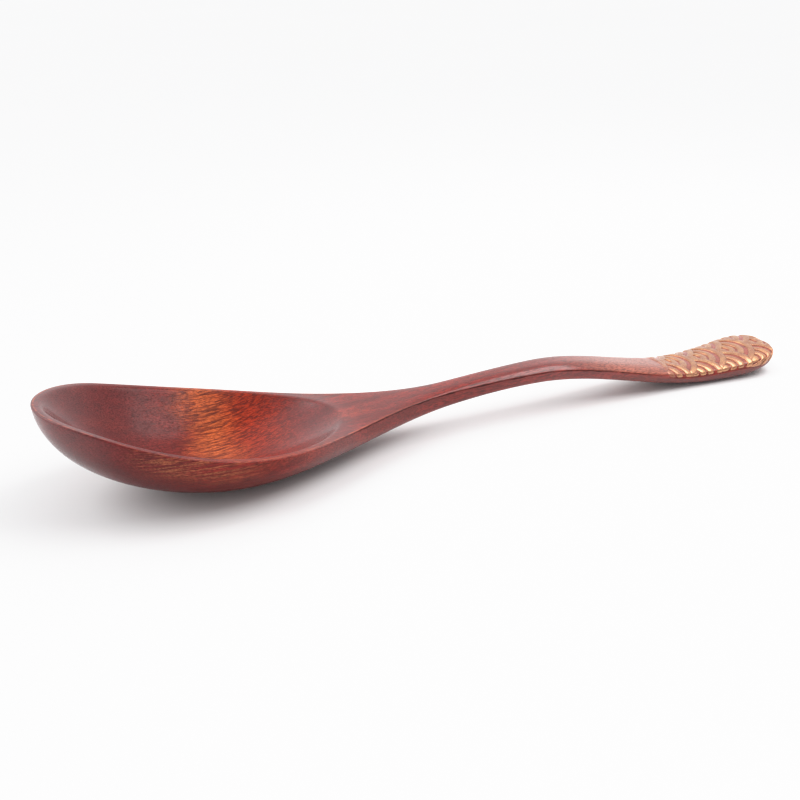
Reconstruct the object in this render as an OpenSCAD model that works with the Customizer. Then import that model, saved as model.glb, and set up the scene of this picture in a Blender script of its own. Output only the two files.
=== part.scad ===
// Wooden soup spoon, carved from one piece, with a gold wave relief on the end of its handle.
// A station is a distance along the spoon from the tip of its bowl. Z is the height above the table.

/* [Overall] */
// Length from the bowl's tip to the handle's end
spoon_l = 190; // [186:1:194]
// Depth by which each resting place is worn flat
foot_cut = 0.25; // [0.1:0.05:0.4]

/* [Bowl] */
// Full width of the bowl
bowl_w = 42; // [38:0.5:46]
// Station where the bowl is widest
widest_x = 35; // [32:1:38]
// Station where the bowl's underside rests on the table
rest_x = 41; // [36:1:43]
// Width of the rim at the tip
tip_rim_w = 2; // [1.5:0.25:3]
// Width of the rim at the bowl's widest place
side_rim_w = 1.9; // [1.5:0.1:3]
// Station of the hollow's back edge
hollow_end_x = 65.5; // [63:0.5:68]
// Height of the lowest place in the hollow
hollow_z = 3.2; // [2.6:0.1:4.5]
// Steepness of the hollow's wall, where 2 is a plain bowl shape
hollow_n = 2.3; // [2:0.1:2.6]

/* [Neck and stem] */
// Station where the rim's curve runs out into the neck
rim_end_x = 66; // [66:1:72]
// Height of the neck's top edges at that station
neck_z = 9.6; // [9:0.1:11]
// Height that the rim's parabola gains from the neck to the tip
rim_rise = 17; // [15:0.2:18]
// Height taken off that parabola at the tip
tip_ease = 2.2; // [1.6:0.1:2.6]
// Station where the neck is narrowest
neck_x = 94; // [90:1:98]
// Narrowest width of the neck
neck_w = 7; // [6:0.5:9]
// Station where the stem's top edges are highest
crest_x = 117; // [114:1:122]
// Height of the stem's top edges there
crest_z = 11.3; // [10.6:0.1:12]
// Station where the stem's underside is highest
arch_x = 116; // [112:1:118]
// Height of the stem's underside there
arch_z = 8; // [7.4:0.1:8.4]

/* [Handle end] */
// Full width of the flared handle end
handle_w = 16.8; // [15:0.2:18]
// Power by which the stem flares
flare_n = 1.6; // [1.3:0.1:2]
// Station where the handle's round end starts
cap_x = 176; // [174:1:179]
// Station where the handle's top edges are lowest
trough_x = 166; // [162:1:170]
// Height of the top edges there
trough_z = 3.9; // [3.6:0.1:4.4]
// Station where the handle rests on the table
dip_x = 172; // [170:1:174]
// Height of the handle's end
end_z = 6.4; // [5.8:0.1:7]
// Crown of the handle's top face above its edges
crown_h = 1.4; // [0.8:0.1:1.8]

/* [Wave relief] */
// Distance between waves that follow each other along the handle
wave_pitch = 9.4; // [9:0.1:9.6]
// Distance from the middle row of waves to each edge row
wave_row = 7.6; // [7.4:0.1:7.8]
// Radius of a whole wave
wave_r = 8.5; // [8.4:0.1:8.6]
// Station of the middle row's first whole wave
wave_x = 157.4; // [157:0.1:158]
// Height of the gold lands above the wood between them
relief_h = 0.3; // [0.2:0.05:0.5]
// Distance that the lands run down the handle's sides
side_skirt_h = 1; // [0.6:0.1:1.4]
// Distance that they run down the handle's end
end_skirt_h = 2.3; // [1.6:0.1:2.4]

/* [Hidden] */

wood_colour = "#7a3a2c";
gold_colour = "#c89c68";

// Length over which the tip's edge is eased down
tip_ease_l = 14;
// Section powers: the bowl's underside, the handle's boxier underside, and the crown
bowl_section_n = 2.1;
handle_section_n = 3.4;
crown_n = 3.5;
// Powers that round the handle's end, in plan and in side view
cap_plan_n = 3;
cap_side_n = 2.5;
// The hollow's mouth is two half ellipses that share its widest line
hollow_front_l = widest_x - tip_rim_w;
hollow_back_l = hollow_end_x - widest_x;
hollow_half_w = bowl_w / 2 - side_rim_w;
// The wood drops to the foot of the relief between these stations
relief_from_x = 151;
relief_to_x = 158;
// The gold starts here
gold_x = 153;
// Radii of the four gold lands of a wave: its core, two rings and its outer band
lands = [[0.05, 1.35], [1.95, 3.6], [4.15, 5.85], [6.95, wave_r]];
// Seam between a wave and the one it hides, how deep the gold is keyed in, and its edge rounding
wave_seam = 0.1;
bed_h = 0.15;
edge_r = 0.6;

// Mesh steps: angles round the ends, the stem's step, and divisions across a section
end_step = 7.5;
stem_step = 5;
under_parts = 20;
rim_parts = 4;
hollow_parts = 12;
land_parts = 12;
bisections = 12;

function unit(u) = max(0, min(1, u));
function ease(u) = (1 - cos(180 * unit(u))) / 2;
function blend(x, x0, v0, x1, v1) = v0 + (v1 - v0) * ease((x - x0) / (x1 - x0));
function round_off(u, n) = pow(1 - pow(unit(u), n), 1 / n);

// Depth by which the wood lies under the finished surface at a station
function recess(x) = blend(x, relief_from_x, 0, relief_to_x, relief_h);

// Half width of the stem and handle without the round end
function flare(x) = (neck_w + (handle_w - neck_w) * pow((x - neck_x) / (cap_x - neck_x), flare_n)) / 2;

// Half width of the finished spoon, whose round end is cut short by d
function half_w(x, d = 0) =
    x <= widest_x ? bowl_w / 2 * round_off((widest_x - x) / widest_x, 2)
  : x <= neck_x ? blend(x, widest_x, bowl_w / 2, neck_x, neck_w / 2)
  : flare(x) * round_off((x - cap_x) / (spoon_l - d - cap_x), cap_plan_n);

// Height of the rim, and of the edges of the neck, stem and handle
function edge_z(x) =
    x <= rim_end_x
    ? neck_z + rim_rise * pow((rim_end_x - x) / rim_end_x, 2) - tip_ease * pow(unit(1 - x / tip_ease_l), 2)
  : x <= crest_x ? blend(x, rim_end_x, neck_z, crest_x, crest_z)
  : x <= trough_x ? blend(x, crest_x, crest_z, trough_x, trough_z)
  : trough_z + (end_z - trough_z) * pow((x - trough_x) / (spoon_l - trough_x), 2);

// Height of the underside along the middle
function keel_z(x, d = 0) =
    x <= rest_x ? edge_z(0) - (edge_z(0) + foot_cut) * round_off((rest_x - x) / rest_x, 2)
  : x <= arch_x ? blend(x, rest_x, -foot_cut, arch_x, arch_z)
  : x <= dip_x ? blend(x, arch_x, arch_z, dip_x, -foot_cut)
  : end_z - d - (end_z - d + foot_cut) * round_off((x - dip_x) / (spoon_l - d - dip_x), cap_side_n);

// Height of the top face, which is crowned from the neck to the handle's end
function crown(x, d = 0) =
    blend(x, bowl_w * 1.4, 0, bowl_w * 3.1, crown_h) * round_off((x - cap_x) / (spoon_l - d - cap_x), 2);
function face_z(x, y, d = 0) =
    edge_z(x) + crown(x, d) * (1 - pow(unit(abs(y) / max(half_w(x), 0.01)), crown_n));

// The hollow: its half width at a station, and its surface
function hollow_u(x) = (x - widest_x) / (x < widest_x ? hollow_front_l : hollow_back_l);
function hollow_half(x) = hollow_half_w * sqrt(max(0, 1 - pow(hollow_u(x), 2)));
function hollow_surface(x, y) =
    let (rho = max(norm([hollow_u(x), y / hollow_half_w]), 0.001))
    let (rim = face_z(widest_x + (x - widest_x) / rho, y / rho))
    hollow_z + (rim - hollow_z) * pow(rho, hollow_n);

// One ring of the body round a station: the underside from right to left, then the top back again
function body_ring(x) =
    let (
        d = recess(x),
        last = spoon_l - relief_h,
        w = x >= last ? 0 : max(0, half_w(x, d) - d),
        top = edge_z(x) - d,
        t = x <= 0 || x >= last ? 0 : max(0, top - keel_z(x, d)),
        n = blend(x, bowl_w * 1.2, bowl_section_n, bowl_w * 2.7, handle_section_n),
        h = min(w, hollow_half(x)),
        rim_y = [for (k = [1:rim_parts]) w + (h - w) * k / rim_parts],
        hollow_y = [for (k = [1:hollow_parts]) h * cos(180 * k / hollow_parts)],
        back_y = [for (k = [1:rim_parts - 1]) -h - (w - h) * k / rim_parts]
    )
    concat(
        [for (k = [0:under_parts])
            let (a = 180 * k / under_parts, c = cos(a), s = sin(a))
            [x, -sign(c) * w * pow(abs(c), 2 / n), max(0, top - t * pow(abs(s), 2 / n))]],
        [for (y = rim_y) [x, y, w > 0 ? face_z(x, y, d) - d : top]],
        [for (k = [1:hollow_parts])
            let (y = hollow_y[k - 1])
            [x, y, k < hollow_parts && h > 0 ? hollow_surface(x, y) : w > 0 ? face_z(x, y, d) - d : top]],
        [for (y = back_y) [x, y, w > 0 ? face_z(x, y, d) - d : top]]
    );

// Stations of the body's rings, close together where its outline turns fast
stations = concat(
    [0, tip_rim_w * 0.12, tip_rim_w * 0.5],
    [for (a = [0:end_step:89]) widest_x - hollow_front_l * cos(a)],
    [for (a = [0:end_step:90]) widest_x + hollow_back_l * sin(a)],
    [for (x = [hollow_end_x + stem_step:stem_step:cap_x - 1]) x],
    [for (a = [0:end_step * 1.2:90]) cap_x + (spoon_l - relief_h - cap_x) * sin(a)]
);

// Skin of triangles over rings that each hold the same number of points, without the empty ones
module ring_skin(rings, closed_ends = false) {
    n = len(rings[0]);
    m = len(rings);
    points = [for (ring = rings) each ring];
    quads = [for (i = [0:m - 2], j = [0:n - 1])
        [i * n + j, i * n + (j + 1) % n, (i + 1) * n + (j + 1) % n, (i + 1) * n + j]];
    tris = [for (q = quads) each [[q[0], q[1], q[2]], [q[0], q[2], q[3]]]];
    full = [for (f = tris) if (points[f[0]] != points[f[1]] && points[f[1]] != points[f[2]]
        && points[f[0]] != points[f[2]]) f];
    ends = closed_ends ? [[for (j = [n - 1:-1:0]) j], [for (j = [0:n - 1]) (m - 1) * n + j]] : [];
    polyhedron(points, concat(full, ends), convexity = 4);
}

// Where a point of the flat wave drawing lies between the handle's middle, 0, and its outline, 1
function outline_share(px, py) =
    max(pow(pow((px - min(px, cap_x)) / (spoon_l - cap_x), cap_plan_n)
        + pow(abs(py) / flare(min(px, spoon_l)), cap_plan_n), 1 / cap_plan_n), 0.001);

// How far a point of the drawing lies past the outline
function past_outline(px, py) = norm([px - min(px, cap_x), py]) * (1 - 1 / outline_share(px, py));

// Where a point of the drawing comes to lie on the handle, h above the finished surface.
// Past the outline the drawing is bent over the edge and runs down the side.
function bent(px, py, h) =
    let (
        c = min(px, cap_x),
        arm = norm([px - c, py]),
        share = max(outline_share(px, py), 1),
        over = past_outline(px, py),
        down = max(0, over),
        ox = c + (px - c) / share,
        oy = py / share,
        t = max(3, edge_z(ox) - keel_z(min(ox, cap_x))),
        tuck = round_off(down / t, handle_section_n),
        roll = 90 * unit((over + edge_r) / (2 * edge_r)),
        out = arm > 0 ? [px - c, py] / arm : [0, 0],
        z = over > 0 ? edge_z(ox) - down : face_z(px, py)
    )
    [c + (ox - c) * tuck + h * out.x * sin(roll), oy * tuck + h * out.y * sin(roll), z + h * cos(roll)];

function on_handle(cx, cy, r, a) =
    let (px = cx + r * cos(a), py = cy + r * sin(a))
    px >= gold_x && past_outline(px, py) <= blend(px, cap_x - 1, side_skirt_h, spoon_l - 4, end_skirt_h);

// Angle at which a wave's circle of radius r goes under the wave in front of it in its own row
hide_r = wave_r + wave_seam;
function row_angle(r) =
    acos(max(-1, (hide_r * hide_r - wave_pitch * wave_pitch - r * r) / (2 * r * wave_pitch)));

// Angle at which it goes under that one or the wave in front beside it
function hidden_angle(r) =
    let (
        arm = norm([wave_pitch / 2, wave_row]),
        turn = acos(min(1, (r * r + arm * arm - hide_r * hide_r) / (2 * r * arm)))
    )
    min(atan2(wave_row, -wave_pitch / 2) - turn, row_angle(r));

// Last angle on the handle between one that is on it and one that may not be
function edge_angle(cx, cy, r, on, off, k = 0) =
    on_handle(cx, cy, r, off) ? off
  : k == bisections ? on
  : let (mid = (on + off) / 2)
    on_handle(cx, cy, r, mid) ? edge_angle(cx, cy, r, mid, off, k + 1) : edge_angle(cx, cy, r, on, mid, k + 1);

// One gold land of the wave centred at cx, cy. side is 0 in the middle row and 1 or -1 in an edge row.
module land(cx, cy, side, radii) {
    start = side == 0 ? 0 : -side * 45;
    if (on_handle(cx, cy, radii[0], start) && on_handle(cx, cy, radii[1], start)) {
        limits = [for (r = radii)
            side == 0
            ? [edge_angle(cx, cy, r, 0, -hidden_angle(r)), edge_angle(cx, cy, r, 0, hidden_angle(r))]
            : side > 0
            ? [edge_angle(cx, cy, r, -45, -hidden_angle(r)), edge_angle(cx, cy, r, -45, row_angle(r))]
            : [edge_angle(cx, cy, r, 45, -row_angle(r)), edge_angle(cx, cy, r, 45, hidden_angle(r))]];
        rings = [for (k = [0:land_parts])
            [for (corner = [[0, -relief_h - bed_h], [1, -relief_h - bed_h], [1, 0], [0, 0]])
                let (
                    r = radii[corner[0]],
                    lim = limits[corner[0]],
                    a = lim[0] + (lim[1] - lim[0]) * k / land_parts
                )
                bent(cx + r * cos(a), cy + r * sin(a), corner[1])]];
        ring_skin(rings, closed_ends = true);
    }
}

module in_place() {
    translate([-spoon_l / 2, 0, 0]) children();
}

// The wooden spoon: bowl, neck, stem and handle
module spoon_body() {
    color(wood_colour) in_place()
        ring_skin([for (i = [len(stations) - 1:-1:0]) body_ring(stations[i])]);
}

// The gold lands of one wave in the middle row, counted from the bowl's side
module wave_middle(i) {
    color(gold_colour) in_place()
        for (radii = i == 1 ? [lands[3]] : lands)
            land(wave_x + (i - 2) * wave_pitch, 0, 0, radii);
}

// The gold lands of one wave in an edge row, where side is 1 for the left edge and -1 for the right
module wave_edge(i, side) {
    color(gold_colour) in_place()
        for (radii = lands)
            land(wave_x + (i - 1.5) * wave_pitch, side * wave_row, side, radii);
}

spoon_body();
for (i = [1:5])
    wave_middle(i);
for (i = [1:4]) {
    wave_edge(i, -1);
    wave_edge(i, 1);
}
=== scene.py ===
"""Looks of a carved and lacquered wooden soup spoon with a gold wave relief on its handle.

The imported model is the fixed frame. Its wooden body is stood for by one finely rounded skin, and
the gold lands of each wave by one raised piece that is laid on that skin. Shapes are worked out
in millimetres over stations, which are distances from the bowl's tip as in the CAD source, and
are put in the shared frame in metres at the end. The materials read places in the shared frame,
in millimetres.
"""

import math
from collections import namedtuple

import bmesh
import bpy
import numpy as np
from mathutils import Matrix, Vector
from mathutils.bvhtree import BVHTree


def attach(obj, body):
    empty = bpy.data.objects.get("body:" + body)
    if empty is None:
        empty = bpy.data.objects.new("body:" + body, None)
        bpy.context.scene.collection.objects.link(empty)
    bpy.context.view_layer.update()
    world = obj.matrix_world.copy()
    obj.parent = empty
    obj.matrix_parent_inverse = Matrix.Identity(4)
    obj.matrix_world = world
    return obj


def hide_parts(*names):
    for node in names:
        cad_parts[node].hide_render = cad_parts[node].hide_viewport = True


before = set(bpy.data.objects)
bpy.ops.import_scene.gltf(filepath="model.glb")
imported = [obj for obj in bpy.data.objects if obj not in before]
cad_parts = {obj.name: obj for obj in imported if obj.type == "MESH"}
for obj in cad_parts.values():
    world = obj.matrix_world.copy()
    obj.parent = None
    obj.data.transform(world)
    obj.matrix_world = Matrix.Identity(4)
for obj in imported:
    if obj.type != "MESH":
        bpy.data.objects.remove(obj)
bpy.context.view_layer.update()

MM = 0.001

# The spoon's sizes in mm, as in the CAD source
SPOON_L = 190.0
FOOT_CUT = 0.25
BOWL_W, WIDEST_X, REST_X = 42.0, 35.0, 41.0
HOLLOW_FRONT_L, HOLLOW_BACK_L, HOLLOW_HALF_W = 33.0, 30.5, 19.1
HOLLOW_Z, HOLLOW_N = 3.2, 2.3
RIM_END_X, NECK_Z, RIM_RISE = 66.0, 9.6, 17.0
TIP_EASE, TIP_EASE_L = 2.2, 14.0
NECK_X, NECK_W = 94.0, 7.0
CREST_X, CREST_Z = 117.0, 11.3
ARCH_X, ARCH_Z = 116.0, 8.0
HANDLE_W, FLARE_N = 16.8, 1.6
CAP_X, CAP_PLAN_N, CAP_SIDE_N = 176.0, 3.0, 2.5
TROUGH_X, TROUGH_Z = 166.0, 3.9
DIP_X, END_Z = 172.0, 6.4
CROWN_FROM_X, CROWN_TO_X, CROWN_H, CROWN_N = 58.8, 130.2, 1.4, 3.5
BOWL_SECTION_N, HANDLE_SECTION_N = 2.1, 3.4
SECTION_FROM_X, SECTION_TO_X = 50.4, 113.4

# The relief in mm: its waves, and the inner and outer radius of each wave's four lands
WAVE_PITCH, WAVE_ROW, WAVE_R, WAVE_X = 9.4, 7.6, 8.5, 157.4
LANDS = ((0.0, 1.35), (1.95, 3.6), (4.15, 5.85), (6.95, WAVE_R))
GOLD_X = 153.0  # where the lands start
RELIEF_H = 0.3  # how far they stand above the wood between them
RELIEF_FROM_X, RELIEF_TO_X = 151.0, 158.0  # over which that wood is let in
EDGE_R = 0.6  # the radius at which the lands bend over the edge
SKIRT_SIDE_H, SKIRT_END_H = 1.0, 2.3  # how far they run down the sides and round the end
SKIRT_FROM_X, SKIRT_TO_X = 175.0, 186.0  # between which one passes into the other


# ---------------------------------------------------------------- the spoon's form


def unit(u):
    return np.clip(u, 0.0, 1.0)


def ease(u):
    return (1 - np.cos(np.pi * unit(u))) / 2


def blend(x, x0, v0, x1, v1):
    return v0 + (v1 - v0) * ease((x - x0) / (x1 - x0))


def round_off(u, n):
    return (1 - unit(u) ** n) ** (1 / n)


def flare(x):
    """Half width of the stem and handle without the round end."""
    along = np.maximum(x - NECK_X, 0) / (CAP_X - NECK_X)
    return (NECK_W + (HANDLE_W - NECK_W) * along**FLARE_N) / 2


def half_w(x):
    """Half width of the spoon in plan."""
    bowl = BOWL_W / 2 * round_off((WIDEST_X - x) / WIDEST_X, 2)
    neck = blend(x, WIDEST_X, BOWL_W / 2, NECK_X, NECK_W / 2)
    handle = flare(x) * round_off((x - CAP_X) / (SPOON_L - CAP_X), CAP_PLAN_N)
    return np.where(x <= WIDEST_X, bowl, np.where(x <= NECK_X, neck, handle))


def edge_z(x):
    """Height of the rim, and of the top edges of the neck, stem and handle."""
    rim = NECK_Z + RIM_RISE * ((RIM_END_X - x) / RIM_END_X) ** 2
    rim = rim - TIP_EASE * unit(1 - x / TIP_EASE_L) ** 2
    neck = blend(x, RIM_END_X, NECK_Z, CREST_X, CREST_Z)
    stem = blend(x, CREST_X, CREST_Z, TROUGH_X, TROUGH_Z)
    end = TROUGH_Z + (END_Z - TROUGH_Z) * ((x - TROUGH_X) / (SPOON_L - TROUGH_X)) ** 2
    return np.select([x <= RIM_END_X, x <= CREST_X, x <= TROUGH_X], [rim, neck, stem], end)


def keel_z(x):
    """Height of the underside along the middle."""
    tip_z = edge_z(np.zeros(1))[0]
    bowl = tip_z - (tip_z + FOOT_CUT) * round_off((REST_X - x) / REST_X, 2)
    rise = blend(x, REST_X, -FOOT_CUT, ARCH_X, ARCH_Z)
    fall = blend(x, ARCH_X, ARCH_Z, DIP_X, -FOOT_CUT)
    end = END_Z - (END_Z + FOOT_CUT) * round_off((x - DIP_X) / (SPOON_L - DIP_X), CAP_SIDE_N)
    return np.select([x <= REST_X, x <= ARCH_X, x <= DIP_X], [bowl, rise, fall], end)


def section_n(x):
    """Power of the underside's section, which is boxier along the handle."""
    return blend(x, SECTION_FROM_X, BOWL_SECTION_N, SECTION_TO_X, HANDLE_SECTION_N)


def face_z(x, y):
    """Height of the top face, which is crowned from the neck to the handle's end."""
    crown = blend(x, CROWN_FROM_X, 0, CROWN_TO_X, CROWN_H)
    crown = crown * round_off((x - CAP_X) / (SPOON_L - CAP_X), 2)
    across = unit(np.abs(y) / np.maximum(half_w(x), 0.01))
    return edge_z(x) + crown * (1 - across**CROWN_N)


HOLLOW_EDGE_R = 0.55  # half the width over which the hollow's edge is eased
LEAST_SOFT = 0.05  # least height over which it is


def top_z(x, y):
    """Height of the finished top: its face, and the hollow let into it with a soft edge."""
    reach = np.where(x < WIDEST_X, HOLLOW_FRONT_L, HOLLOW_BACK_L)
    u, v = (x - WIDEST_X) / reach, y / HOLLOW_HALF_W
    rho = np.maximum(np.hypot(u, v), 1e-3)
    rim = face_z(WIDEST_X + (x - WIDEST_X) / rho, y / rho)
    hollow = HOLLOW_Z + (rim - HOLLOW_Z) * rho**HOLLOW_N
    face = face_z(x, y)
    mouth = np.hypot((x - WIDEST_X) / rho, y / rho)
    slope = (rim - HOLLOW_Z) * HOLLOW_N / np.maximum(mouth, 1)
    soft = np.maximum(HOLLOW_EDGE_R * slope, LEAST_SOFT)
    near = np.maximum(soft - np.abs(face - hollow), 0) / soft
    return np.minimum(face, hollow) - near**2 * soft / 4


def under_z(x, y):
    """Height of the underside, cut flat where it rests on the table."""
    n = section_n(x)
    across = unit(np.abs(y) / np.maximum(half_w(x), 1e-9))
    top = edge_z(x)
    return np.maximum(top - (top - keel_z(x)) * (1 - across**n) ** (1 / n), 0)


# ---------------------------------------------------------------- the wooden skin

UNDER_N, FILLET_N, TOP_N = 34, 8, 58  # divisions of a half section
TIP_SECTIONS, END_SECTIONS = 176, 64  # half sections round the bowl's tip and the handle's end
STEPS = ((WIDEST_X, 0.36), (68.0, 0.85), (146.0, 0.42), (CAP_X, 0))  # station, step from there
RIM_CROWDING = 1.25  # above 1, the top's points stand closer near the rim
UNDER_CURVE_N, TOP_CURVE_N = 700, 500  # points at which a half section's curves are measured
OUTLINE_N = 20001  # and at which the round end's outline is
UNDER_NUDGE, TOP_NUDGE = 0.004, 0.03  # small steps that give a curve's direction at its end
WELD = 1e-3  # points closer than this are one point, in mm


# How far the top edge is rounded on each side, at stations from the bowl to the handle's end
ARRIS = ((50.0, 0.5), (80.0, 0.3), (128.0, 0.3), (156.0, 0.85))


def arris_r(x):
    (x0, r0), (x1, r1), (x2, r2), (x3, r3) = ARRIS
    return np.where(x < x2, blend(x, x0, r0, x1, r1), blend(x, x2, r2, x3, r3))


def lengths_along(u, v):
    """Length of a curve from its first point to each of its points."""
    return np.concatenate([[0], np.cumsum(np.hypot(np.diff(u), np.diff(v)))])


def corner_curve(p0, d0, p2, d2):
    """Points between two points that leave both along the given directions."""
    gap = p2 - p0
    go = (gap[0] * d2[1] - gap[1] * d2[0]) / (d0[0] * d2[1] - d0[1] * d2[0])
    p1 = p0 + d0 * go
    t = np.linspace(0, 1, FILLET_N + 1)[1:-1, None]
    return (1 - t) ** 2 * p0 + 2 * t * (1 - t) * p1 + t**2 * p2


def half_section(centre_x, edge_x, edge_y):
    """One half section from the underside's middle out to the edge and back over the top.

    It stands on the plan line from (centre_x, 0) to the outline's point (edge_x, edge_y).
    Returns its points and how far each lies below the edge, which on the top is minus its
    distance from the edge.
    """
    span = math.hypot(edge_x - centre_x, edge_y)
    n = float(section_n(np.array(centre_x)))

    def plan(s):
        return centre_x + (edge_x - centre_x) * s / span, edge_y * s / span

    def under(a):
        s = span * np.cos(a) ** (2 / n)
        return np.array([s, under_z(*plan(s))])

    def top(s):
        return np.array([s, top_z(*plan(s))])

    r = float(arris_r(np.array(edge_x)))
    angle = np.linspace(1e-6, math.pi / 2, UNDER_CURVE_N)
    along = lengths_along(*under(angle))
    a = np.interp(np.linspace(along[-1], r, UNDER_N + 1), along, angle)
    a[0] = math.pi / 2
    reach = np.linspace(span, 0, TOP_CURVE_N)
    over = lengths_along(*top(reach))
    share = np.linspace(0, 1, TOP_N + 1) ** RIM_CROWDING
    b = np.interp(r + (over[-1] - r) * share, over, reach)
    b[-1] = 0
    (us, uz), (ts, tz) = under(a), top(b)
    us[0] = 0

    p0, p2 = np.array([us[-1], uz[-1]]), np.array([ts[0], tz[0]])
    d0, d2 = under(a[-1] - UNDER_NUDGE) - p0, top(b[0] + TOP_NUDGE) - p2
    fillet = corner_curve(p0, d0, p2, d2)
    s = np.concatenate([us, fillet[:, 0], ts])
    z = np.concatenate([uz, fillet[:, 1], tz])
    x, y = plan(s)
    below = edge_z(np.array([edge_x]))[0] - z
    below[len(us) + len(fillet):] = ts - span
    return np.stack([x, y, z], 1), below


def section_places():
    """Centre and outline point of every half section, going once round the spoon."""
    turn = np.linspace(-math.pi / 2, math.pi / 2, TIP_SECTIONS + 1)
    tip = [(WIDEST_X, WIDEST_X * (1 - math.cos(p)), BOWL_W / 2 * math.sin(p)) for p in turn]
    stations = []
    for (x0, step), (x1, _) in zip(STEPS, STEPS[1:]):
        stations += list(np.linspace(x0, x1, round((x1 - x0) / step) + 1)[1:])
    widths = half_w(np.array(stations))
    left = [(x, x, w) for x, w in zip(stations, widths)]
    right = [(x, x, -w) for x, w in zip(stations, widths)][::-1]
    a = np.linspace(0, math.pi / 2, OUTLINE_N)
    ex = CAP_X + (SPOON_L - CAP_X) * np.sin(a) ** (2 / CAP_PLAN_N)
    ey = flare(ex) * np.cos(a) ** (2 / CAP_PLAN_N)
    along = lengths_along(ex, ey)
    where = np.linspace(0, along[-1], END_SECTIONS // 2 + 1)
    ex, ey = np.interp(where, along, ex), np.interp(where, along, ey)
    ey[-1] = 0
    round_left = [(CAP_X, x, y) for x, y in zip(ex[1:], ey[1:])]
    round_right = [(CAP_X, x, -y) for x, y in zip(ex[1:-1], ey[1:-1])][::-1]
    return tip + left + round_left + round_right + right


EDGE_ATTRIBUTE = "below_edge"


def mesh_object(name, verts_mm, faces, below):
    """A smooth-shaded mesh object from points in mm over stations, welded where they coincide.
    below is each point's depth below the spoon's top edge in mm, for the material to read."""
    mesh = bpy.data.meshes.new(name)
    shared = (np.asarray(verts_mm) - [SPOON_L / 2, 0, 0]) * MM
    mesh.from_pydata(shared.tolist(), [], [list(map(int, f)) for f in faces])
    mesh.attributes.new(EDGE_ATTRIBUTE, "FLOAT", "POINT").data.foreach_set("value", below)
    bm = bmesh.new()
    bm.from_mesh(mesh)
    bmesh.ops.remove_doubles(bm, verts=bm.verts, dist=WELD * MM)
    bmesh.ops.recalc_face_normals(bm, faces=bm.faces)
    bm.to_mesh(mesh)
    bm.free()
    mesh.shade_smooth()
    piece = bpy.data.objects.new(name, mesh)
    bpy.context.scene.collection.objects.link(piece)
    return piece


def build_skin():
    """The finished wooden skin as points in mm, quads, and each point's depth below the edge."""
    sections = [half_section(*place) for place in section_places()]
    count, size = len(sections), len(sections[0][0])
    verts = np.concatenate([s[0] for s in sections])
    below = np.concatenate([s[1] for s in sections])
    i, j = np.meshgrid(np.arange(count), np.arange(size - 1), indexing="ij")
    k = (i + 1) % count
    faces = np.stack([i * size + j, k * size + j, k * size + j + 1, i * size + j + 1], -1)
    return verts, faces.reshape(-1, 4), below


SINK_BACK, SINK_FADE = 0.35, 0.5  # where, above the lands' lower ends, the sunk wood comes back up


def sink_relief(verts, faces, below):
    """Points of the skin, let in by the relief's height where the lands stand."""
    normals = np.zeros_like(verts)
    a, b, c, d = (verts[faces[:, k]] for k in range(4))
    face_n = np.cross(c - a, d - b)
    for k in range(4):
        np.add.at(normals, faces[:, k], face_n)
    # Points on the middle line are doubled, so each of a pair takes the sum of both
    _, pair = np.unique(np.round(verts, 4), axis=0, return_inverse=True)
    pair = pair.ravel()
    total = np.zeros((pair.max() + 1, 3))
    np.add.at(total, pair, normals)
    normals = total[pair]
    normals /= np.maximum(np.linalg.norm(normals, axis=1, keepdims=True), 1e-12)
    depth = blend(verts[:, 0], RELIEF_FROM_X, 0, RELIEF_TO_X, RELIEF_H)
    depth = depth * (1 - ease((below - skirt_h(verts[:, 0]) + SINK_BACK) / SINK_FADE))
    outward = np.sign(np.sum(normals * (verts - verts.mean(0)), 1).mean())
    return verts - normals * outward * depth[:, None]


# ---------------------------------------------------------------- the gold lands


def past_outline(px, py):
    """Where points of the flat drawing lie against the outline: their share and overhang."""
    c = np.minimum(px, CAP_X)
    ahead = ((px - c) / (SPOON_L - CAP_X)) ** CAP_PLAN_N
    aside = (np.abs(py) / flare(np.minimum(px, SPOON_L))) ** CAP_PLAN_N
    share = np.maximum((ahead + aside) ** (1 / CAP_PLAN_N), 1e-3)
    return share, np.hypot(px - c, py) * (1 - 1 / share)


LEAST_THICKNESS = 3.0  # the side is taken as at least this high when the lands are tucked in


def bent(px, py, h):
    """Where points of the flat drawing come to lie, h above the skin. Past the outline the
    drawing is bent over the edge and runs down the side."""
    c = np.minimum(px, CAP_X)
    arm = np.maximum(np.hypot(px - c, py), 1e-6)
    share, over = past_outline(px, py)
    down, share = np.maximum(over, 0), np.maximum(share, 1)
    ox, oy = c + (px - c) / share, py / share
    edge = edge_z(ox)
    thick = np.maximum(LEAST_THICKNESS, edge - keel_z(np.minimum(ox, CAP_X)))
    tuck = round_off(down / thick, HANDLE_SECTION_N)
    roll = np.pi / 2 * unit((over + EDGE_R) / (2 * EDGE_R))
    push = h * np.sin(roll) / arm
    z = np.where(over > 0, edge - down, face_z(px, py)) + h * np.cos(roll)
    return np.stack([c + (ox - c) * tuck + push * (px - c), oy * tuck + push * py, z], -1)


def skirt_h(px):
    """How far the lands run down the side, which is further round the handle's end."""
    return blend(px, SKIRT_FROM_X, SKIRT_SIDE_H, SKIRT_TO_X, SKIRT_END_H)


def on_handle(cx, cy, r, a):
    px, py = cx + r * np.cos(a), cy + r * np.sin(a)
    return (px >= GOLD_X) & (past_outline(px, py)[1] <= skirt_h(px))


LAP = 0.15  # how far a land runs under the wave in front
HIDE_R = WAVE_R - LAP
LEAST_R = 0.05  # a circle's angles are those of one at least this big
HALVINGS = 12  # of the stretch in which a circle leaves the handle


def row_angle(r):
    """Angle at which a circle of a wave goes under the wave in front of it in its own row."""
    r = np.maximum(r, LEAST_R)
    return np.arccos(np.clip((HIDE_R**2 - WAVE_PITCH**2 - r**2) / (2 * r * WAVE_PITCH), -1, 1))


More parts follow.
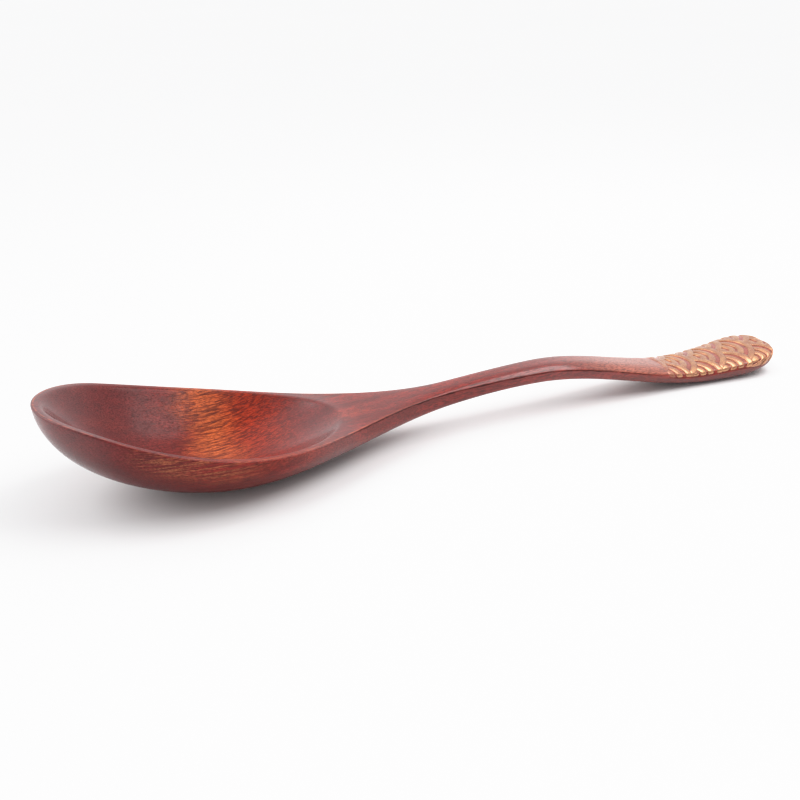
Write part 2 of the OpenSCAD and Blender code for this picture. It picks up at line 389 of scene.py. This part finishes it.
def hidden_angle(r):
    """Angle at which it goes under that one or the wave in front beside it."""
    r = np.maximum(r, LEAST_R)
    arm = math.hypot(WAVE_PITCH / 2, WAVE_ROW)
    turn = np.arccos(np.clip((r * r + arm * arm - HIDE_R**2) / (2 * r * arm), -1, 1))
    return np.minimum(math.atan2(WAVE_ROW, -WAVE_PITCH / 2) - turn, row_angle(r))


def last_angle(cx, cy, r, start, off):
    """The last angles on the handle between one that is on it and others that may not be."""
    on, low = np.full_like(off, start), off.copy()
    done = on_handle(cx, cy, r, off)
    for _ in range(HALVINGS):
        mid = (on + low) / 2
        good = on_handle(cx, cy, r, mid)
        on, low = np.where(good, mid, on), np.where(good, low, mid)
    return np.where(done, off, on)


FOOT_H = -0.45  # the lands' undersides, which are keyed into the wood
ROUNDING = ((0.0, FOOT_H), (0.0, -0.24), (0.05, -0.13), (0.14, -0.06), (0.28, -0.02))
PILLOW_H = 0.03  # how much a land swells in its middle
LAND_DROP = 0.035  # how far the lands' edges stay under the finished surface
SEAM_DROP, SEAM_W = 0.06, 0.1  # a land dips by so much, so near the wave in front
SKIRT_DROP, SKIRT_FADE = 0.35, 0.4  # and by so much over its last stretch down the side
START_DROP, START_L = 0.2, 3.0  # and by so much where the gold starts
ARC_STEP, LEAST_STEPS = 0.3, 6  # mm along a land between its sections, and least number of them
CORNER = 1.0  # how far behind a wave's centre its middle land starts, where the waves in front meet


def land_profile(r0, r1):
    """Radius and height of each point across a land, from its inner foot over to its outer foot."""
    inner = [(r0 + d, h) for d, h in ROUNDING] if r0 > 0 else [(0, FOOT_H), (0, PILLOW_H)]
    outer = [(r1 - d, h) for d, h in reversed(ROUNDING)] if r1 < WAVE_R else [(r1, 0), (r1, FOOT_H)]
    from_r, to_r = inner[-1][0], outer[0][0]
    shares = (0.25, 0.5, 0.75)
    middle = [(from_r + (to_r - from_r) * u, PILLOW_H * (0.5 + 2 * u * (1 - u))) for u in shares]
    return np.array(inner + middle + outer).T


def land_ends(cx, cy, r, side, start):
    """First and last angle of a land's circles, where they leave the handle or go under a wave."""
    low = -(hidden_angle(r) if side >= 0 else row_angle(r))
    high = hidden_angle(r) if side <= 0 else row_angle(r)
    return last_angle(cx, cy, r, start, low), last_angle(cx, cy, r, start, high)


def land_height(px, py, height, in_front):
    """Height of a land's points over the finished surface, lowered along its seams and ends."""
    gap = np.min([np.hypot(px - fx, py - fy) for fx, fy in in_front], axis=0) - WAVE_R
    past_skirt = past_outline(px, py)[1] - skirt_h(px)
    h = height - LAND_DROP - SEAM_DROP * ease((SEAM_W - gap) / (2 * SEAM_W))
    h = h - SKIRT_DROP * ease((past_skirt + SKIRT_FADE) / SKIRT_FADE)
    return h - START_DROP * (1 - ease((px - GOLD_X) / START_L))


def wave_lands(cx, cy, side, radii, lay):
    """Points in mm, faces and depths below the edge of one wave's lands. side is 0 in the middle
    row and 1 or -1 in an edge row, and lay(px, py, h) puts points of the drawing on the skin."""
    verts, faces, below = [], [], []
    start = -side * math.pi / 4
    beside = [(cx - WAVE_PITCH / 2, cy + step) for step in (WAVE_ROW, -WAVE_ROW) if step * side <= 0]
    in_front = [(cx - WAVE_PITCH, cy)] + beside
    for r0, r1 in radii:
        if not on_handle(cx, cy, np.array([max(r0, LEAST_R), r1]), start).all():
            continue
        r, height = land_profile(r0, r1)
        low, high = land_ends(cx, cy, r, side, start)
        steps = max(LEAST_STEPS, math.ceil((high - low).max() * r1 / ARC_STEP))
        angle = low + (high - low) * np.linspace(0, 1, steps + 1)[:, None]
        px, py = cx + r * np.cos(angle), cy + r * np.sin(angle)
        if r0 == 0:
            px = px - CORNER * (1 - r / r1)
        h = land_height(px, py, height, in_front)
        first, m = sum(map(len, verts)), len(r)
        verts.append(lay(px.ravel(), py.ravel(), h.ravel()))
        below.append(past_outline(px, py)[1].ravel())
        for k in range(steps):
            a, b = first + k * m, first + (k + 1) * m
            faces += [(a + j, b + j, b + (j + 1) % m, a + (j + 1) % m) for j in range(m)]
        faces.append(tuple(range(first, first + m))[::-1])
        faces.append(tuple(range(first + steps * m, first + steps * m + m)))
    return np.concatenate(verts), faces, np.concatenate(below)


SEARCH_FROM, SEARCH_TO = 1.5, -1.2  # heights over the skin between which it is looked for


def layer_on(skin_verts, skin_faces):
    """Returns lay(px, py, h), which finds the skin under points of the drawing and goes h above it."""
    tree = BVHTree.FromPolygons(skin_verts.tolist(), skin_faces.tolist())

    def lay(px, py, h):
        outside, inside = bent(px, py, SEARCH_FROM), bent(px, py, SEARCH_TO)
        way = inside - outside
        way /= np.linalg.norm(way, axis=1, keepdims=True)
        found = [tree.ray_cast(Vector(o), Vector(w))[0] for o, w in zip(outside, way)]
        on_skin = [hit if hit else fall for hit, fall in zip(found, bent(px, py, 0))]
        return np.array(on_skin) - way * h[:, None]

    return lay


# ---------------------------------------------------------------- materials

# A layer of figure or grain in the wood. Its noise has so many cells per mm along, across and up.
# The layer sets in between two values of that noise, with its own colour and strength.
Layer = namedtuple("Layer", "cells detail roughness distortion low high colour strength")


class Shader:
    """A material's node tree, built up one node at a time. mm, x, y and z are the object
    coordinates in mm."""

    def __init__(self, name):
        self.material = bpy.data.materials.new(name)
        self.material.use_nodes = True
        self.tree = self.material.node_tree
        self.tree.nodes.clear()
        metres = self.node("TexCoord").outputs["Object"]
        self.mm = self.node("VectorMath", metres, operation="SCALE", named={"Scale": 1 / MM}).outputs[0]
        self.x, self.y, self.z = self.node("SeparateXYZ", self.mm).outputs

    def node(self, kind, *inputs, named=None, **settings):
        """A new node. Each input is a socket to link or a value to set."""
        made = self.tree.nodes.new("ShaderNode" + kind)
        for key, value in settings.items():
            setattr(made, key, value)
        for key, value in list(enumerate(inputs)) + list((named or {}).items()):
            if isinstance(value, bpy.types.NodeSocket):
                self.tree.links.new(value, made.inputs[key])
            else:
                made.inputs[key].default_value = value
        return made

    def math(self, operation, *inputs):
        return self.node("Math", *inputs, operation=operation).outputs[0]

    def product(self, first, *others):
        for other in others:
            first = self.math("MULTIPLY", first, other)
        return first

    def plus(self, a, b):
        return self.math("ADD", a, b)

    def minus(self, a, b):
        return self.math("SUBTRACT", a, b)

    def rise(self, value, low, high):
        """0 below low and 1 above high, with an eased rise between."""
        made = self.node("MapRange", value, low, high, 0.0, 1.0, interpolation_type="SMOOTHSTEP")
        return made.outputs[0]

    def fall(self, value, low, high):
        """1 below low and 0 above high."""
        return self.minus(1.0, self.rise(value, low, high))

    def span(self, value, rise_low, rise_high, fall_low, fall_high):
        """1 between a rise and a fall, and 0 on both sides of them."""
        return self.product(self.rise(value, rise_low, rise_high), self.fall(value, fall_low, fall_high))

    def mix(self, factor, a, b):
        """Colour a changed towards colour b."""
        made = self.node("Mix", data_type="RGBA", clamp_factor=True, named={0: factor, 6: a, 7: b})
        return made.outputs[2]

    def tint(self, colour, towards, strength, *masks):
        """A colour changed towards another, as strongly as said, where all the masks are."""
        return self.mix(self.product(*masks, strength), colour, towards)

    def noise(self, vector, scale=1.0, detail=3.0, roughness=0.5, distortion=0.0):
        named = {"Vector": vector, "Scale": scale, "Detail": detail,
                 "Roughness": roughness, "Distortion": distortion}
        return self.node("TexNoise", named=named).outputs["Fac"]

    def figure(self, layer, vector):
        """The noise of a layer."""
        scaled = self.node("Mapping", vector, vector_type="POINT", named={"Scale": layer.cells})
        return self.noise(scaled.outputs[0], 1.0, layer.detail, layer.roughness, layer.distortion)

    def layered(self, colour, layer, noise, *masks):
        """A colour with a layer brought in where its noise is high and all the masks are."""
        high = self.rise(noise, layer.low, layer.high)
        return self.tint(colour, layer.colour, layer.strength, high, *masks)

    def bump(self, height, strength, distance):
        named = {"Strength": strength, "Distance": distance, "Height": height}
        return self.node("Bump", named=named).outputs[0]

    def finish(self, **surface):
        """The finished material. surface holds the inputs of its Principled BSDF, with underscores
        for the spaces in their names."""
        named = {key.replace("_", " "): value for key, value in surface.items()}
        self.node("OutputMaterial", self.node("BsdfPrincipled", named=named).outputs[0])
        return self.material


def srgb(r, g, b):
    """A linear colour from its 0 to 255 display values, by the standard curve."""
    def linear(v):
        v /= 255
        return v / 12.92 if v <= 0.04045 else ((v + 0.055) / 1.055) ** 2.4
    return (linear(r), linear(g), linear(b), 1.0)


DARK_WOOD = srgb(72, 22, 20)
RED_WOOD = srgb(148, 46, 38)
WARM_WOOD = srgb(166, 60, 40)
ORANGE_WOOD = srgb(230, 112, 58)
EMBER_WOOD = srgb(184, 50, 26)
# Purple-brown of painted haze, the lacquer's reflection, and of painted shade at the bowl's tip
PAINTED_HAZE_PURPLE = srgb(104, 42, 46)
PORE_WOOD = srgb(44, 12, 10)
PALE_WOOD = srgb(196, 116, 92)
GROOVE_WOOD = srgb(168, 76, 56)
STREAK_WOOD = srgb(204, 122, 80)
# Painted highlight along the rim
RIM_HIGHLIGHT_WOOD = srgb(196, 90, 56)
# Painted shade under the top edge
EDGE_SHADE_DARK = srgb(36, 12, 10)

# The wood's figure and grain
BANDS = Layer((0.016, 0.45, 0.45), 3, 0.5, 0.2, 0.4, 0.62, DARK_WOOD, 0.45)
DRIFT = Layer((0.03, 0.12, 0.12), 2, 0.5, 0.0, 0.45, 0.7, WARM_WOOD, 0.6)
FLAMES = Layer((0.13, 2.6, 2.0), 3, 0.5, 0.2, 0.48, 0.58, DARK_WOOD, 0.68)
STREAKS = Layer((0.03, 0.5, 3.4), 3, 0.6, 0.0, 0.44, 0.6, STREAK_WOOD, 0.55)
DASHES = Layer((0.45, 4.4, 4.4), 3, 0.6, 0.0, 0.46, 0.56, DARK_WOOD, 0.52)
PORES = Layer((0.4, 4.4, 4.4), 3, 0.6, 0.0, 0.56, 0.62, PORE_WOOD, 0.6)
FINE = Layer((1.5, 5.6, 5.6), 2, 0.6, 0.0, 0.5, 0.64, DARK_WOOD, 0.5)
# The uneven light line of painted highlight along the rim; its noise also makes the painted shade line
# uneven
EDGE_PAINTED_LIGHT = Layer((0.25, 1.2, 1.2), 3, 0.5, 0.0, 0.35, 0.6, RIM_HIGHLIGHT_WOOD, 0.7)

# Stretches along the spoon, in mm in the shared frame, over which the wood's tones and its
# painted light set in or end
BOWL_TIP = (-80.0, -60.0)
HOLLOW_BACK = (-44.0, -34.0, -31.0, -28.5)
PALE_STEM = (24.0, 50.0)
DARK_SIDES = (40.0, 60.0)
GILT_GROOVES = (57.0, 66.0)
RIM_LINE_END = (-30.0, -5.0)
DARK_LINE = (-44.0, -22.0, 50.0, 58.0)

# Depths under the top edge in mm, over which they do. On the top the depth is negative, and is
# minus the distance from the edge.
OUTSIDE = (-0.1, 0.2)
UNDER_RIM = (2.5, 8.0)
LOW_DOWN = (2.0, 9.0)
SIDES = (0.3, 1.5)
TOP_FACE = (-0.3, 0.3)
GROOVE_FLOORS = (-0.7, 0.0)
# Where the rim's painted highlight and the top edge's painted shade line lie
RIM_LINE = (-0.9, -0.35, -0.2, 0.05)
DARK_LINE_TOP = (-0.05, 0.08)
DARK_LINE_LEAST, DARK_LINE_MORE, DARK_LINE_FADE = -0.2, 0.9, 0.1

# The bowl's figured patch, partly painted light, in mm in the shared frame
PATCH_FROM_X, PATCH_TO_X = -62.0, -34.0
PATCH, PATCH_STRENGTH = (PATCH_FROM_X - 5, PATCH_FROM_X + 5, PATCH_TO_X - 16, PATCH_TO_X), 0.9
EMBER_PART, EMBER_STRENGTH = (PATCH_FROM_X + 4, PATCH_FROM_X + 14), 0.9
PATCH_WANDER = 6.0  # how far its limits wander
OUTSIDE_SHIFT = 15.0  # how much nearer the tip the patch lies on the bowl's outside
NEAR_SIDE, NEAR_SIDE_LOSS = (6.0, -9.0), 0.85  # where across the bowl it fades, and how much
FAN_BEND = 0.009  # how fast the patch's flames turn aside along the spoon, per mm


def lit_and_figured_patch(s, colour, drift, below):
    """The bowl's bright patch, partly painted light: orange towards the tip, painted as where the bowl
    is lit, with a clear limit that is a painted shadow edge, then ember red, with fine dark flames of
    real figure that fan out. Outside, under the rim, it lies nearer the tip and has long light
    streaks instead."""
    outside = s.rise(below, *OUTSIDE)
    wander = s.product(s.minus(drift, 0.5), PATCH_WANDER)
    at = s.plus(s.x, s.plus(wander, s.product(outside, OUTSIDE_SHIFT)))
    patch = s.span(at, *PATCH)

    along = s.math("MAXIMUM", s.minus(s.x, PATCH_FROM_X), 0.0)
    across = s.minus(s.y, s.product(along, along, FAN_BEND))
    flames = s.figure(FLAMES, s.node("CombineXYZ", s.x, across, s.z).outputs[0])
    lit = s.tint(ORANGE_WOOD, EMBER_WOOD, EMBER_STRENGTH, s.rise(at, *EMBER_PART))
    lit = s.layered(lit, FLAMES, flames)
    near_side = s.product(s.rise(s.y, *NEAR_SIDE), NEAR_SIDE_LOSS)
    inside = s.product(s.minus(1.0, near_side), s.minus(1.0, outside))
    # Painted light: the patch's orange brightens the bowl as where it is lit
    colour = s.tint(colour, lit, PATCH_STRENGTH, patch, inside)

    under_rim = s.product(patch, outside, s.fall(below, *UNDER_RIM))
    return s.layered(colour, STREAKS, s.figure(STREAKS, s.mm), under_rim)


def sides_and_painted_edge_light(s, colour, below):
    """Darker low on the sides, and painted light at the top edge: a light uneven line of painted
    highlight above it round the bowl, and a dark uneven line of painted shade below it from there on.
    Returns the colour and the dark line."""
    colour = s.tint(colour, DARK_WOOD, 0.5, s.rise(below, *LOW_DOWN))
    colour = s.tint(colour, DARK_WOOD, 0.4, s.rise(below, *SIDES), s.rise(s.x, *DARK_SIDES))
    edge_noise = s.figure(EDGE_PAINTED_LIGHT, s.mm)
    # Painted highlight: a light uneven line along the rim's top, round the bowl
    colour = s.layered(colour, EDGE_PAINTED_LIGHT, edge_noise, s.span(below, *RIM_LINE), s.fall(s.x, *RIM_LINE_END))
    # Painted shade: a dark uneven line just under the top edge, from the bowl on
    depth = s.plus(DARK_LINE_LEAST, s.product(edge_noise, DARK_LINE_MORE))
    end = s.fall(s.minus(below, depth), -DARK_LINE_FADE, DARK_LINE_FADE)
    line = s.product(s.rise(below, *DARK_LINE_TOP), end, s.span(s.x, *DARK_LINE))
    return s.tint(colour, EDGE_SHADE_DARK, 0.8, line), line


def wood_colour(s):
    """Colour with its painted light, fine grain, pores and the dark edge line of painted shade of the
    lacquered wood, for it and the worn gold.
    """
    below = s.node("Attribute", attribute_name=EDGE_ATTRIBUTE).outputs["Fac"]
    drift, pores, fine = (s.figure(layer, s.mm) for layer in (DRIFT, PORES, FINE))
    colour = s.layered(RED_WOOD, BANDS, s.figure(BANDS, s.mm))
    colour = s.layered(colour, DRIFT, drift)
    # Towards the bowl's tip the wood turns purple-brown: painted shade with a painted hazy reflection in
    # it
    colour = s.tint(colour, PAINTED_HAZE_PURPLE, 0.6, s.fall(s.x, *BOWL_TIP))
    colour = lit_and_figured_patch(s, colour, drift, below)
    # Painted hazy reflection, purple-grey, over the stretch of the hollow's back end
    colour = s.tint(colour, PAINTED_HAZE_PURPLE, 0.45, s.span(s.x, *HOLLOW_BACK))

    # The stem's top is paler towards the gold, as a painted sheen of the lacquer; the wood between
    # the lands is paler too
    colour = s.tint(colour, PALE_WOOD, 0.7, s.rise(s.x, *PALE_STEM), s.fall(below, *TOP_FACE))
    colour = s.tint(colour, GROOVE_WOOD, 0.8, s.rise(s.x, *GILT_GROOVES), s.fall(below, *GROOVE_FLOORS))

    colour = s.layered(colour, DASHES, s.figure(DASHES, s.mm))
    colour = s.layered(colour, PORES, pores)
    colour = s.layered(colour, FINE, fine)
    colour, line = sides_and_painted_edge_light(s, colour, below)
    return colour, fine, s.rise(pores, PORES.low, PORES.high), line


# The clear coat's weight, and how much of it is worn off in the bowl's hollow, on the neck and along
# the dark edge line, with the stretches along the spoon in mm
COAT = 0.85
HOLLOW_WEAR, HOLLOW_WORN = 0.7, (-90.0, -78.0, -52.0, -34.0)
NECK_WEAR, NECK_WORN = 0.3, (-32.0, -24.0, 5.0, 30.0)
LINE_WEAR = 0.8

# How much the fine grain stands up and the pores go down, and how the grain changes the gloss
GRAIN_RISE, PORE_DROP = 0.4, 0.6
WOOD_ROUGH, GRAIN_ROUGH = 0.36, 0.12


def lacquered_wood():
    """Red-brown lacquer over straight grain, with fine pores and a bright figured patch that is
    partly painted light, and painted highlight, shade and haze.
    """
    s = Shader("lacquered_wood")
    colour, fine, pores, line = wood_colour(s)
    height = s.minus(s.product(fine, GRAIN_RISE), s.product(pores, PORE_DROP))
    bump = s.bump(height, strength=0.3, distance=0.00006)
    coat = s.minus(COAT, s.product(s.span(s.x, *HOLLOW_WORN), HOLLOW_WEAR))
    coat = s.minus(coat, s.product(s.span(s.x, *NECK_WORN), NECK_WEAR))
    coat = s.product(coat, s.minus(1.0, s.product(line, LINE_WEAR)))
    return s.finish(
        Base_Color=colour, Roughness=s.plus(WOOD_ROUGH, s.product(fine, GRAIN_ROUGH)), Normal=bump,
        Specular_IOR_Level=0.12, Coat_Weight=coat, Coat_Roughness=0.15, Coat_IOR=1.5, Coat_Normal=bump)


GOLD = srgb(180, 126, 98)
PALE_GOLD = srgb(204, 150, 110)
WORN_GOLD = srgb(168, 92, 70)
GOLD_GRAIN = Layer((0.3, 2.4, 2.4), 3, 0.5, 0.0, 0.5, 0.7, WORN_GOLD, 0.35)
CLOUD_CELLS, FLECK_CELLS = 0.55, 3.0  # per mm
GOLD_START, GOLD_START_WANDER = (58.5, 65.5), 3.0  # mm in the shared frame
GOLD_METALLIC, GOLD_ROUGH, FLECK_ROUGH = 0.85, 0.2, 0.16


def gold_lacquer():
    """Satin copper-gold lacquer that fades in over the wood, with fine flecks and worn spots."""
    s = Shader("gold_lacquer")
    cloud, fleck = s.noise(s.mm, CLOUD_CELLS), s.noise(s.mm, FLECK_CELLS, detail=2)
    colour = s.mix(s.rise(cloud, 0.35, 0.7), GOLD, PALE_GOLD)
    colour = s.layered(colour, GOLD_GRAIN, s.figure(GOLD_GRAIN, s.mm))
    colour = s.tint(colour, WORN_GOLD, 0.15, s.rise(fleck, 0.5, 0.7))
    gilt = s.rise(s.plus(s.x, s.product(cloud, GOLD_START_WANDER)), *GOLD_START)
    colour = s.mix(gilt, wood_colour(s)[0], colour)
    return s.finish(
        Base_Color=colour, Roughness=s.plus(GOLD_ROUGH, s.product(fleck, FLECK_ROUGH)),
        Metallic=s.product(gilt, GOLD_METALLIC), Normal=s.bump(fleck, strength=0.15, distance=0.00004),
        Coat_Weight=0.3, Coat_Roughness=0.25)


TABLE_GREY, TABLE_WHITE = (0.86, 0.86, 0.865, 1), (0.89, 0.89, 0.892, 1)
TABLE_CELLS = 0.003  # per mm


def table_top():
    """Matt white table with a very faint unevenness."""
    s = Shader("table_top")
    colour = s.mix(s.noise(s.mm, TABLE_CELLS, detail=2), TABLE_GREY, TABLE_WHITE)
    return s.finish(Base_Color=colour, Roughness=0.75, Specular_IOR_Level=0.2)


# ---------------------------------------------------------------- the object


def fit_out(piece, material, slot, *nodes):
    piece.data.materials.append(material)
    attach(piece, "root")
    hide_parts(*nodes)


skin_verts, skin_faces, skin_below = build_skin()
wood = mesh_object("spoon_wood", sink_relief(skin_verts, skin_faces, skin_below), skin_faces, skin_below)
fit_out(wood, lacquered_wood(), "lacquered_wood", "spoon_body")

gold = gold_lacquer()
lay = layer_on(skin_verts, skin_faces)
for i in range(1, 6):
    radii = LANDS[3:] if i == 1 else LANDS  # only the outer land of the first wave is on the gold
    made = wave_lands(WAVE_X + (i - 2) * WAVE_PITCH, 0, 0, radii, lay)
    fit_out(mesh_object(f"gold_wave_middle_{i}", *made), gold, "gold_lacquer", f"wave_middle_{i}")
for i in range(1, 5):
    for name, side in (("right", -1), ("left", 1)):
        made = wave_lands(WAVE_X + (i - 1.5) * WAVE_PITCH, side * WAVE_ROW, side, LANDS, lay)
        fit_out(mesh_object(f"gold_wave_{name}_{i}", *made), gold, "gold_lacquer", f"wave_{name}_{i}")


# ---------------------------------------------------------------- floor, light and camera

FLOOR_R = 12.0  # half the table's width, in metres


def add_floor():
    """A wide pale table top, which the camera sees to its upper edge."""
    mesh = bpy.data.meshes.new("floor")
    corners = [(u * FLOOR_R, v * FLOOR_R, 0) for u, v in ((-1, -1), (1, -1), (1, 1), (-1, 1))]
    mesh.from_pydata(corners, [], [(0, 1, 2, 3)])
    mesh.materials.append(table_top())
    floor = bpy.data.objects.new("floor", mesh)
    bpy.context.scene.collection.objects.link(floor)


ROOM_COLOUR = (0.99, 0.995, 1.0, 1)
ROOM_LIGHT, CEILING_LIGHT = 1.15, 0.2  # brightness all round the spoon, and straight above it
CEILING_FROM, CEILING_TO = 0.92, 0.98  # sine of the elevations between which the room darkens
FRONT_SHARE = 0.42  # share of that brightness that comes from the front
FRONT_FROM, FRONT_TO = -0.75, -0.2  # direction along Y between which the room brightens

# The soft lamps: azimuth from the front towards +X, and elevation, in degrees. The left one is far
# away, with its angular size and strength. The right one is a panel near the stem, with its
# distance from there, its length along the stem, its width and its power.
LEFT_LAMP = (240, 43, 50, 1.15)
RIGHT_LAMP = (68, 61, 0.30, 0.14, 0.24, 0.58)
STEM_PLACE = Vector((0.015, 0, 0.012))


def bearing(azimuth, elevation):
    """Direction towards an azimuth, counted from the front towards +X, and an elevation."""
    a, e = math.radians(azimuth), math.radians(elevation)
    return Vector((math.sin(a) * math.cos(e), -math.cos(a) * math.cos(e), math.sin(e)))


def hang_lamp(lamp, aim, direction, distance):
    """A lamp that shines on a place from a direction and a distance in metres, with its own X axis
    along the spoon."""
    holder = bpy.data.objects.new(lamp.name, lamp)
    bpy.context.scene.collection.objects.link(holder)
    along = Vector((1, 0, 0))
    along = (along - direction * along.dot(direction)).normalized()
    axes = Matrix((along, direction.cross(along), direction)).transposed()
    holder.matrix_world = Matrix.Translation(aim + direction * distance) @ axes.to_4x4()
    holder.visible_camera = False


def eased_range(tree, value, low, high, at_low, at_high):
    """A node's output that changes smoothly between two values as its input does."""
    made = tree.nodes.new("ShaderNodeMapRange")
    made.interpolation_type = "SMOOTHSTEP"
    tree.links.new(value, made.inputs["Value"])
    limits = {"From Min": low, "From Max": high, "To Min": at_low, "To Max": at_high}
    for key, number in limits.items():
        made.inputs[key].default_value = number
    return made.outputs[0]


def add_room():
    """Even white surroundings with a darker ceiling and a dimmer front."""
    world = bpy.data.worlds.new("soft_room")
    world.use_nodes = True
    tree = world.node_tree
    parts = tree.nodes.new("ShaderNodeSeparateXYZ")
    tree.links.new(tree.nodes.new("ShaderNodeTexCoord").outputs["Generated"], parts.inputs[0])
    room = eased_range(tree, parts.outputs["Z"], CEILING_FROM, CEILING_TO, ROOM_LIGHT, CEILING_LIGHT)
    front = eased_range(tree, parts.outputs["Y"], FRONT_FROM, FRONT_TO, FRONT_SHARE, 1.0)
    strength = tree.nodes.new("ShaderNodeMath")
    strength.operation = "MULTIPLY"
    tree.links.new(room, strength.inputs[0])
    tree.links.new(front, strength.inputs[1])
    background = tree.nodes["Background"].inputs
    background["Color"].default_value = ROOM_COLOUR
    tree.links.new(strength.outputs[0], background["Strength"])
    bpy.context.scene.world = world


def add_lamps():
    """A broad soft lamp on the left behind, and a panel over the stem on the right."""
    azimuth, elevation, size, strength = LEFT_LAMP
    left = bpy.data.lights.new("left_lamp", "SUN")
    left.energy, left.angle = strength, math.radians(size)
    hang_lamp(left, Vector((0, 0, 0)), bearing(azimuth, elevation), 1.0)
    azimuth, elevation, distance, length, width, power = RIGHT_LAMP
    right = bpy.data.lights.new("right_lamp", "AREA")
    right.shape, right.energy = "RECTANGLE", power
    right.size, right.size_y = length, width
    hang_lamp(right, STEM_PLACE, bearing(azimuth, elevation), distance)


CAMERA_PLACE = Vector((-0.0969, -0.1992, 0.1076))
CAMERA_HEADING, CAMERA_ELEVATION, CAMERA_ROLL = -22.64, 24.44, -1.24
CAMERA_LENS, SENSOR_W, CLIP_START = 45.0, 36.0, 0.005


def add_camera():
    """The camera, which looks down on the spoon from its right side, a little from the bowl's end."""
    heading = math.radians(CAMERA_HEADING)
    back = bearing(CAMERA_HEADING, CAMERA_ELEVATION)
    right = Vector((math.cos(heading), math.sin(heading), 0))
    turn = Matrix.Rotation(math.radians(CAMERA_ROLL), 3, back)
    axes = Matrix((turn @ right, turn @ back.cross(right), back)).transposed()
    data = bpy.data.cameras.new("camera")
    data.lens, data.sensor_width, data.clip_start = CAMERA_LENS, SENSOR_W, CLIP_START
    camera = bpy.data.objects.new("camera", data)
    camera.matrix_world = Matrix.Translation(CAMERA_PLACE) @ axes.to_4x4()
    bpy.context.scene.collection.objects.link(camera)
    bpy.context.scene.camera = camera


# Brightness in the scene, and how bright it is shown
WHITE_LEVEL = 1.4
TONE_CURVE = ((0.0, 0.0), (0.3, 0.3), (0.7, 0.7), (0.95, 0.92), (1.1, 0.965), (WHITE_LEVEL, 0.985))


def set_exposure():
    """A bright exposure whose curve eases off towards white, as a camera's does."""
    settings = bpy.context.scene.view_settings
    settings.view_transform = "Standard"
    settings.use_curve_mapping = True
    mapping = settings.curve_mapping
    mapping.use_clip = False
    mapping.white_level = (WHITE_LEVEL,) * 3
    points = mapping.curves[3].points
    places = [(level / WHITE_LEVEL, shown) for level, shown in TONE_CURVE]
    points[0].location, points[1].location = places[0], places[-1]
    for place in places[1:-1]:
        points.new(*place)
    mapping.update()


add_floor()
add_room()
add_lamps()
add_camera()
set_exposure()
